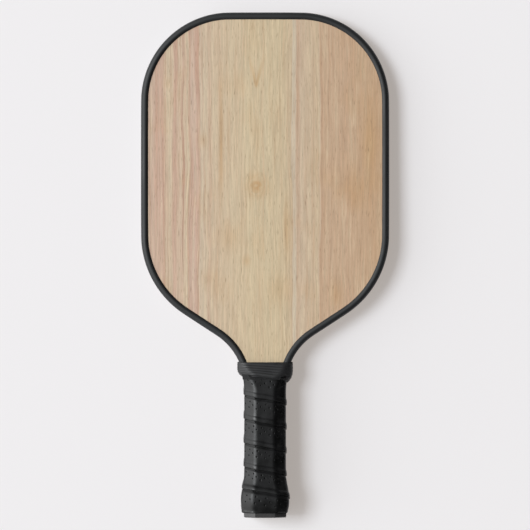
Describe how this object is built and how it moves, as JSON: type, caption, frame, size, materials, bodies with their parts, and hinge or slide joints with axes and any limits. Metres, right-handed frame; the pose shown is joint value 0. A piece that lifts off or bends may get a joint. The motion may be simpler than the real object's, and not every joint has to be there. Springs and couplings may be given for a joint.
{
  "type": "pickleball paddle",
  "caption": "Short-handled sports paddle with a rounded wood-grain face, black edge guard, ribbed collar and octagonal wrapped grip, for striking a light ball.",
  "frame": {"origin": "centre of the bounding box at the table the paddle lies on, under the middle of its length", "axes": "+X across the face, +Y from the butt to the top of the head, +Z out of the front face"},
  "size_m": [0.2, 0.4064, 0.0334],
  "materials": {
    "polypropylene_core": "extruded honeycomb",
    "bond_film": "cured adhesive film",
    "fibreglass": "cured laminate",
    "wood_face": "satin lacquered",
    "edge_guard": "satin extruded",
    "adhesive_tape": "tacky",
    "pallet_foam": "rigid foam",
    "butt_cap": "satin moulded",
    "staple_steel": "galvanised",
    "grip_cushion": "closed-cell foam",
    "grip_wrap": "perforated satin polyurethane",
    "finishing_tape": "woven cloth tape",
    "collar_rubber": "ribbed satin"
  },
  "bodies": {
    "root": {"honeycomb_core": "polypropylene_core", "front_bond_film": "bond_film", "back_bond_film": "bond_film", "front_fibreglass_skin": "fibreglass", "back_fibreglass_skin": "fibreglass", "front_wood_face": "wood_face", "back_wood_face": "wood_face", "edge_guard": "edge_guard", "edge_guard_tape": "adhesive_tape", "front_pallet_tape": "adhesive_tape", "back_pallet_tape": "adhesive_tape", "front_handle_pallet": "pallet_foam", "back_handle_pallet": "pallet_foam", "butt_cap": "butt_cap", "front_cap_staple": "staple_steel", "back_cap_staple": "staple_steel", "grip_cushion": "grip_cushion", "grip_wrap": "grip_wrap", "finishing_tape": "finishing_tape", "collar_band": "collar_rubber"}
  },
  "joints": []
}
